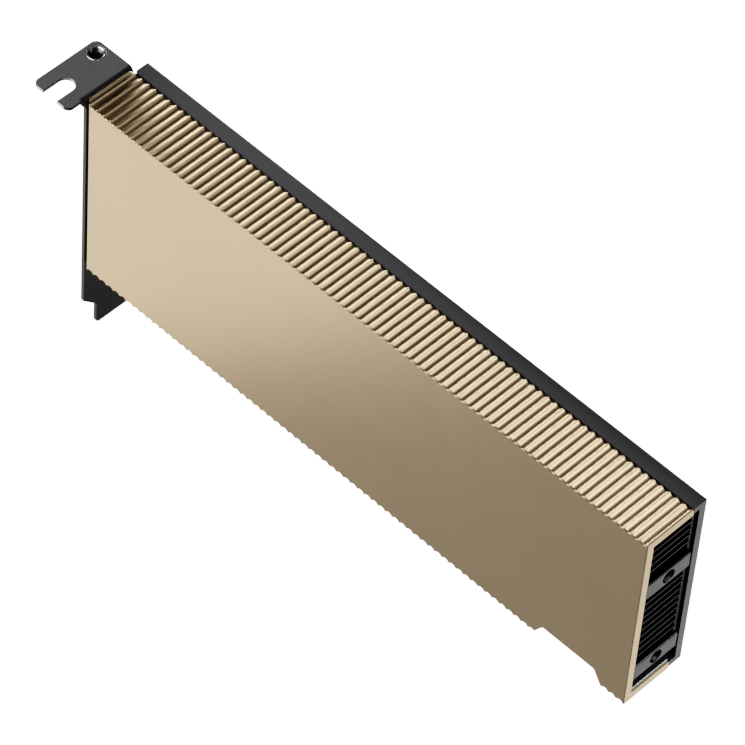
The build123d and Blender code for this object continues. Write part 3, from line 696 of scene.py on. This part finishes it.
def block_rows_tree(name, sizes, material, in_pairs):
    """Two rows of small blocks, or of pairs of blocks, each turned a little askew."""
    tree, size = geometry_tree(name, sizes)
    extent = size["Width"].node("ShaderNodeCombineXYZ", {}, {
        0: size["Width"], 1: size["Thickness"], 2: size["Length"]})
    cube = extent.node("GeometryNodeMeshCube", {}, {"Size": extent})
    if in_pairs:
        pair = cube.node("GeometryNodeJoinGeometry")
        for side in (-0.5, 0.5):
            shift = cube.node("ShaderNodeCombineXYZ", {}, {2: size["Apart"] * side})
            moved = cube.node("GeometryNodeTransform", {}, {0: cube, "Translation": shift})
            moved.into(pair.socket.node.inputs[0])
        cube = pair
    grid = cube.node("GeometryNodeMeshGrid", {}, {
        "Size X": size["Run"], "Size Y": size["Row gap"],
        "Vertices X": size["Columns"], "Vertices Y": 2})
    stood = grid.node("GeometryNodeTransform", {}, {0: grid, "Rotation": (math.radians(90), 0, 0)})
    turn = cube.node("FunctionNodeRandomValue", {"data_type": "FLOAT"}, {
        2: size["Unevenness"] * -1, 3: size["Unevenness"], "Seed": size["Seed"]}, output=1)
    lean = turn.node("ShaderNodeCombineXYZ", {}, {1: turn})
    blocks = stood.node("GeometryNodeInstanceOnPoints", {}, {
        "Points": stood, "Instance": cube, "Rotation": lean})
    close_tree(blocks, material)
    return tree


def make_coupling_capacitors():
    """Two rows of small capacitors in the runs that lead to the contacts."""
    low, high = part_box("front_edge_contacts")
    body = mottled("ceramic", (0.30, 0.20, 0.12), 0.50, 0.0, 2 * MM, 0.1 * MM, 0.002 * MM)
    tin = mottled("tinned_ends", (0.55, 0.55, 0.54), 0.35, 1.0, 1 * MM, 0.1 * MM, 0.003 * MM)
    run = high.x - low.x - rows_shorter
    sizes = {
        "Width": coupler_width,
        "Thickness": coupler_width,
        "Length": coupler_length - coupler_end,
        "Run": run,
        "Row gap": coupler_row_gap,
        "Columns": round(run / coupler_pitch) + 1,
        "Unevenness": math.radians(coupler_lean),
        "Seed": 4,
    }
    ends = dict(sizes)
    ends["Width"] = coupler_width + coupler_tin
    ends["Thickness"] = coupler_width + coupler_tin
    ends["Length"] = coupler_end
    ends["Apart"] = coupler_length - coupler_end
    middle = Vector((
        high.x - run / 2 - rows_from_end,
        board_low.y - coupler_width / 2,
        -coupler_top - coupler_length / 2))
    for name, values, finish in (("coupler_bodies", sizes, body), ("coupler_ends", ends, tin)):
        tree = block_rows_tree(name, values, finish, "Apart" in values)
        piece = grow(name, bpy.data.meshes.new(name), tree, values)
        piece.data.transform(Matrix.Translation(middle))
        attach(piece, "root")


def make_board():
    dress(solder_mask(), "circuit_board")
    plating = mottled("contact_plating", (0.83, 0.58, 0.24), 0.24, 1.0, 3 * MM, 0.1 * MM, 0.002 * MM)
    dress(plating, "front_edge_contacts", "back_edge_contacts")
    make_coupling_capacitors()


make_board()


# Processor, memory and small parts
# Black moulded chips, soft pads on those that are cooled, and dark pressed inductors beside
# the power stages. All are soldered to the board before it goes in.

def make_chips():
    plastic = mottled("chip_plastic", (0.018, 0.018, 0.020), 0.48, 0.0, 4 * MM, 0.08 * MM, 0.004 * MM)
    dress(plastic, "front_memory_chips", "back_memory_chips", "power_stages", "control_chips")
    substrate = mottled("substrate", (0.012, 0.045, 0.028), 0.34, 0.0, 3 * MM, 0.2 * MM, 0.003 * MM)
    dress(substrate, "processor_substrate")
    silicon = mottled("silicon", (0.07, 0.075, 0.09), 0.14, 0.8, 8 * MM, 1 * MM, 0.001 * MM)
    dress(silicon, "processor_die")
    nickel = mottled("nickel_plate", (0.45, 0.43, 0.39), 0.32, 1.0, 6 * MM, 0.1 * MM, 0.003 * MM)
    dress(nickel, "package_stiffener")
    pad = mottled("thermal_pad", (0.24, 0.28, 0.32), 0.80, 0.0, 2 * MM, 0.3 * MM, 0.02 * MM)
    dress(pad, "memory_pads", "back_memory_pads", "power_stage_pads", "inductor_pads", "thermal_film")
    pressed = mottled("pressed_iron", (0.045, 0.045, 0.050), 0.62, 0.2, 1 * MM, 0.15 * MM, 0.010 * MM)
    dress(pressed, "power_inductors")
    capacitor = mottled("capacitor_body", (0.34, 0.24, 0.13), 0.46, 0.0, 3 * MM, 0.1 * MM, 0.003 * MM)
    dress(capacitor, "input_capacitors", "decoupling_capacitors")


make_chips()


# Backing plate, pillars and insulating film
# A spring steel plate behind the processor takes the four screws of the copper plate. Brass
# pillars space the board from the shell, and a thin black film keeps the board off the cover.

def make_backing():
    steel = mottled("spring_steel", (0.30, 0.30, 0.31), 0.30, 1.0, 8 * MM, 0.15 * MM, 0.004 * MM)
    dress(steel, "backing_plate")
    brass = mottled("brass", (0.62, 0.46, 0.20), 0.30, 1.0, 4 * MM, 0.15 * MM, 0.004 * MM)
    dress(brass, "standoffs")
    film = mottled("insulating_film", (0.015, 0.015, 0.016), 0.28, 0.0, 20 * MM, 1 * MM, 0.004 * MM)
    dress(film, "insulating_film")


make_backing()


# Back cover
# An aluminium tray, milled with a shallow pocket in its outer face and sprayed with a fine
# black coat. It closes the card's back and upper edge. Its ends at the tail are cut afterwards
# and left bare. Seven countersunk black screws hold it.

cover_black = (0.058, 0.058, 0.059)
cover_bare = (0.135, 0.136, 0.136)
cover_skin = 0.03 * MM
cover_rounding = 0.12 * MM
coat_roughness = 0.42
coat_spread = 0.08
coat_blot = 7 * MM
coat_shine = 0.06
coat_grain = 0.22 * MM
coat_depth = 0.030 * MM
screw_rounding = 0.06 * MM


def cover_coat():
    """Fine matt black coat, and bare metal on the ends at the tail."""
    material, shader, place = new_finish("black_coat", cover_black, coat_roughness, 0.0)
    shader.inputs["Specular IOR Level"].default_value = coat_shine
    bare = beyond(place, 0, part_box("back_cover")[1].x - cover_skin)
    bare.between(cover_black, cover_bare).into(shader.inputs["Base Color"])
    bare.into(shader.inputs["Metallic"])
    (cloud(place, coat_blot) * coat_spread + coat_roughness).into(shader.inputs["Roughness"])
    relief(shader, cloud(place, coat_grain), coat_depth)
    return material


def make_cover():
    refined("back_cover", "coated_cover", cover_rounding, [cover_coat()])
    black = mottled("black_screws", (0.030, 0.030, 0.032), 0.34, 0.6, 2 * MM, 0.1 * MM, 0.004 * MM)
    for node in ("cover_screws", "heatsink_screws"):
        refined(node, f"rounded_{node}", screw_rounding, [black])


make_cover()


# End bracket
# Steel sheet, cut, bent and plated dark. The faces that the press cut, and the rounded edges, are given
# bright steel, partly the bare metal of the cut and partly painted highlight, apart from the upright's
# front one. Two screws hold the bracket to the blocks, and a turned insert is pressed in its tab for a
# slot screw. The insert's rim is a painted highlight.

steel_dark = (0.046, 0.046, 0.047)
highlight_steel = (0.62, 0.62, 0.61)
bracket_rounding = 0.10 * MM
tab_fold = 53.0 * MM
tab_start = -1.2 * MM
edge_slant = 0.3
front_slant = 0.5
insert_barrel = 2.1 * MM
insert_bore = 1.75 * MM
insert_floor = 0.8 * MM
insert_steps = 64
insert_rise = 0.45 * MM
insert_thread = 0.16 * MM
thread_start = 0.20 * MM
mouth_width = 0.20 * MM
mouth_depth = 0.16 * MM
rim_width = 0.14 * MM
rim_depth = 0.10 * MM
rim_highlight_depth = 0.12 * MM
level_slant = 0.95
collar_height = 0.80 * MM


def is_cut_edge(face):
    """True for the faces across the sheet's thickness in the tab and in the upright part, apart
    from the upright's front edge."""
    x, z = face.calc_center_median().xz
    in_tab = x < tab_start and abs(face.normal.z) < edge_slant
    in_upright = z < tab_fold and abs(face.normal.x) < edge_slant
    return in_tab or in_upright and face.normal.y > -front_slant


def make_insert(finishes):
    """The blind insert turned about its own axis, with its thread, and its rim painted bright as a
    painted highlight.
    """
    low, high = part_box("tab_insert")
    middle = (low + high) / 2
    outer = (high.x - low.x) / 2
    floor_z = low.z + insert_floor
    profile = [
        (0, low.z), (insert_barrel, low.z), (insert_barrel, high.z - collar_height),
        (outer, high.z - collar_height), (outer, high.z - rim_depth), (outer - rim_width, high.z),
        (insert_bore + mouth_width, high.z), (insert_bore, high.z - mouth_depth)]
    turns = int((high.z - thread_start - floor_z) / insert_rise)
    for turn in range(turns):
        z = high.z - thread_start - turn * insert_rise
        profile += [(insert_bore, z), (insert_bore - insert_thread, z - insert_rise / 2)]
    profile += [(insert_bore, floor_z), (0, floor_z)]
    work = bmesh.new()
    points = [work.verts.new((middle.x + radius, middle.y, z)) for radius, z in profile]
    edges = [work.edges.new(pair) for pair in zip(points, points[1:])]
    bmesh.ops.spin(
        work, geom=points + edges, cent=middle, axis=(0, 0, 1), angle=math.radians(360),
        steps=insert_steps, use_merge=True)
    bmesh.ops.remove_doubles(work, verts=work.verts, dist=same_point)
    bmesh.ops.recalc_face_normals(work, faces=work.faces)
    for face in work.faces:
        at_rim = face.calc_center_median().z > high.z - rim_highlight_depth
        face.material_index = 1 if at_rim and face.normal.z < level_slant else 0
    mesh = bpy.data.meshes.new("turned_insert")
    for finish in finishes:
        mesh.materials.append(finish)
    work.to_mesh(mesh)
    work.free()
    piece = new_piece("turned_insert", mesh)
    soften(piece, sharp_beyond)
    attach(piece, "root")
    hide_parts("tab_insert")


def make_bracket():
    sheet = mottled("dark_steel", steel_dark, 0.36, 0.3, 5 * MM, 0.25 * MM, 0.020 * MM)
    # Cut faces and all rounded edges take bright steel: partly the bare metal of the cut, partly painted
    # highlight.
    cut = mottled("bare_steel_and_highlight", highlight_steel, 0.28, 1.0, 2 * MM, 0.30 * MM, 0.060 * MM)
    bracket = refined("io_bracket", "dark_bracket", bracket_rounding, [sheet, cut], is_cut_edge)
    insert = mottled("insert_steel", (0.20, 0.20, 0.20), 0.30, 1.0, 2 * MM, 0.1 * MM, 0.001 * MM)
    # The rim's bright metal is a painted highlight.
    rim = mottled("rim_highlight", (0.62, 0.62, 0.62), 0.20, 1.0, 2 * MM, 0.1 * MM, 0.0005 * MM)
    make_insert([insert, rim])
    black = bpy.data.materials["black_screws"]
    screws = refined("bracket_screws", "rounded_bracket_screws", screw_rounding, [black])


make_bracket()


# Camera
# A long lens looks down on the card from the front right, a little over a metre away, and is
# turned a little about its own axis. Its place and its lens were fitted to the photo.

camera_target = Vector((82.56, -0.91, 26.9)) * MM
camera_distance = 1096.6 * MM
camera_azimuth = math.radians(40.85)
camera_elevation = math.radians(50.46)
camera_roll = math.radians(4.81)
camera_lens = 244.58
camera_film = 36


def make_camera():
    level = math.cos(camera_elevation)
    back = Vector((
        math.sin(camera_azimuth) * level, -math.cos(camera_azimuth) * level, math.sin(camera_elevation)))
    side = (-back).cross(Vector((0, 0, 1))).normalized()
    up = side.cross(-back)
    right = math.cos(camera_roll) * side + math.sin(camera_roll) * up
    top = math.cos(camera_roll) * up - math.sin(camera_roll) * side
    camera = bpy.data.objects.new("camera", bpy.data.cameras.new("camera"))
    bpy.context.scene.collection.objects.link(camera)
    camera.data.lens = camera_lens
    camera.data.sensor_width = camera_film
    turn = Matrix((right, top, back)).transposed().to_4x4()
    camera.matrix_world = Matrix.Translation(camera_target + back * camera_distance) @ turn
    bpy.context.scene.camera = camera


make_camera()


# Lights
# Plain panels of soft light round the card, which the camera doesn't see. The gold flutes mirror
# them as bright bands, so most stand low or to one side.

studio_lights = (
    # name, where it stands, where it shines, the way its width runs, width, height, brightness
    ("low_front_light", (-0.213, -0.278, -0.25), (0, 0, 1), (0.87, 0.49, 0), 0.30, 0.44, 1.28),
    ("low_front_fill", (0.12, -0.25, -0.28), (0, 0, 1), (1, 0, 0), 0.50, 0.36, 0.27),
    ("high_front_light", (-0.10, -0.20, 0.22), (0.45, 0.7, -0.55), (1, 0, 0), 0.30, 0.30, 4.2),
    ("left_light", (-0.45, 0.33, 0.17), (0.82, -0.50, -0.15), (0.48, 0.87, 0), 0.54, 0.25, 18.5),
    ("low_left_light", (-0.30, 0.30, -0.20), (0.5, -0.45, 0.75), (1, 0, 0), 0.30, 0.30, 0.3),
    ("near_right_light", (0.243, 0.049, 0.102), (-0.90, -0.40, -0.15), (-0.4, 0.9, 0), 0.155, 0.10, 3.6),
    ("high_tail_light", (0.165, 0.078, 0.195), (0, -0.48, -0.877), (1, 0, 0), 0.09, 0.09, 0.26),
    ("low_tail_light", (0.334, 0.19, -0.25), (0, 0, 1), (1, 0, 0), 0.26, 0.26, 1.45),
)


def make_lights():
    for name, stands, shines, runs, width, height, brightness in studio_lights:
        lamp = bpy.data.lights.new(name, "AREA")
        lamp.shape = "RECTANGLE"
        lamp.size = width
        lamp.size_y = height
        lamp.energy = brightness * math.pi * width * height
        light = bpy.data.objects.new(name, lamp)
        bpy.context.scene.collection.objects.link(light)
        light.visible_camera = False
        back = -Vector(shines).normalized()
        side = Vector(runs)
        side = (side - side.dot(back) * back).normalized()
        turn = Matrix((side, back.cross(side), back)).transposed().to_4x4()
        light.matrix_world = Matrix.Translation(stands) @ turn


make_lights()


# Flags
# Black cloths between the lights and the card, which the camera doesn't see. One darkens the
# first flutes by the bracket. Two keep light from the right off the strip and the tail's end.

flag_foot = 55 * MM
flag_top = 96 * MM
flag_back = 5.4 * MM
flag_front = -12 * MM
flag_corners = {
    "bracket_flag": [
        (0, flag_front, flag_foot), (0, flag_back, flag_foot),
        (0, flag_back, flag_top), (0, flag_front, flag_top)],
    "strip_flag": [
        (0.04, 0.010, flag_foot), (0.175, 0.010, flag_foot),
        (0.175, 0.010, 0.0574), (0.04, 0.010, 0.0552)],
    "tail_flag": [
        (0.172, -0.06, 0.057), (0.215, -0.06, 0.0555),
        (0.215, 0.30, 0.0555), (0.172, 0.30, 0.057)],
}


def make_flags():
    cloth = mottled("flag_cloth", (0.01, 0.01, 0.01), 0.9, 0.0, 50 * MM, 2 * MM, 0.2 * MM)
    for name, corners in flag_corners.items():
        mesh = bpy.data.meshes.new(name)
        mesh.from_pydata(corners, [], [(0, 1, 2, 3)])
        mesh.materials.append(cloth)
        flag = new_piece(name, mesh)
        flag.visible_camera = False


make_flags()


# Floor and backdrop
# Paper under and round the card, evenly white to the camera, which gives the card only a little
# light of its own. The floor is clear from below, so the card's underside can be seen.

paper_grey = (0.12, 0.12, 0.12)
paper_glow = 2.5
paper_light = 0.06
floor_reach = 4
floor_height = -0.3


def make_backdrop():
    world = bpy.data.worlds.new("studio")
    bpy.context.scene.world = world
    world.use_nodes = True
    backdrop = world.node_tree.nodes["Background"]
    backdrop.inputs["Color"].default_value = (1, 1, 1, 1)
    seen = Wire(world.node_tree).node("ShaderNodeLightPath", output="Is Camera Ray")
    (seen * (paper_glow - paper_light) + paper_light).into(backdrop.inputs["Strength"])


def make_floor():
    paper, shader, place = new_finish("paper_floor", paper_grey, 0.9, 0.0)
    lit = Wire(place.tree, shader.outputs[0])
    seen = place.node("ShaderNodeLightPath", output="Is Camera Ray")
    glow = place.node("ShaderNodeEmission", {}, {"Color": (1, 1, 1, 1), "Strength": paper_glow})
    above = place.node("ShaderNodeMixShader", {}, {0: seen, 1: lit, 2: glow})
    underside = place.node("ShaderNodeNewGeometry", output="Backfacing")
    clear = place.node("ShaderNodeBsdfTransparent")
    whole = place.node("ShaderNodeMixShader", {}, {0: underside, 1: above, 2: clear})
    whole.into(paper.node_tree.nodes["Material Output"].inputs["Surface"])
    corners = [
        (x * floor_reach, y * floor_reach, floor_height)
        for x, y in ((-1, -1), (1, -1), (1, 1), (-1, 1))]
    mesh = bpy.data.meshes.new("floor")
    mesh.from_pydata(corners, [], [(0, 1, 2, 3)])
    mesh.materials.append(paper)
    new_piece("floor", mesh)


make_backdrop()
make_floor()


# Tones
# A print curve: deep darks, and lights that roll off gently up to the white of the paper. Each
# point pairs a strength of light in the scene with how bright the picture shows it.

paper_white = 2.4
tone_points = (
    (0.010, 0.0025), (0.025, 0.011), (0.073, 0.061), (0.139, 0.135), (0.223, 0.223),
    (0.341, 0.333), (0.488, 0.449), (0.644, 0.549), (0.895, 0.670), (1.35, 0.819), (1.75, 0.905))


def set_tones():
    view = bpy.context.scene.view_settings
    view.view_transform = "Standard"
    view.use_curve_mapping = True
    view.curve_mapping.white_level = (paper_white, paper_white, paper_white)
    all_colors = view.curve_mapping.curves[3]
    for light, shown in tone_points:
        all_colors.points.new(light / paper_white, shown)
    view.curve_mapping.update()


set_tones()
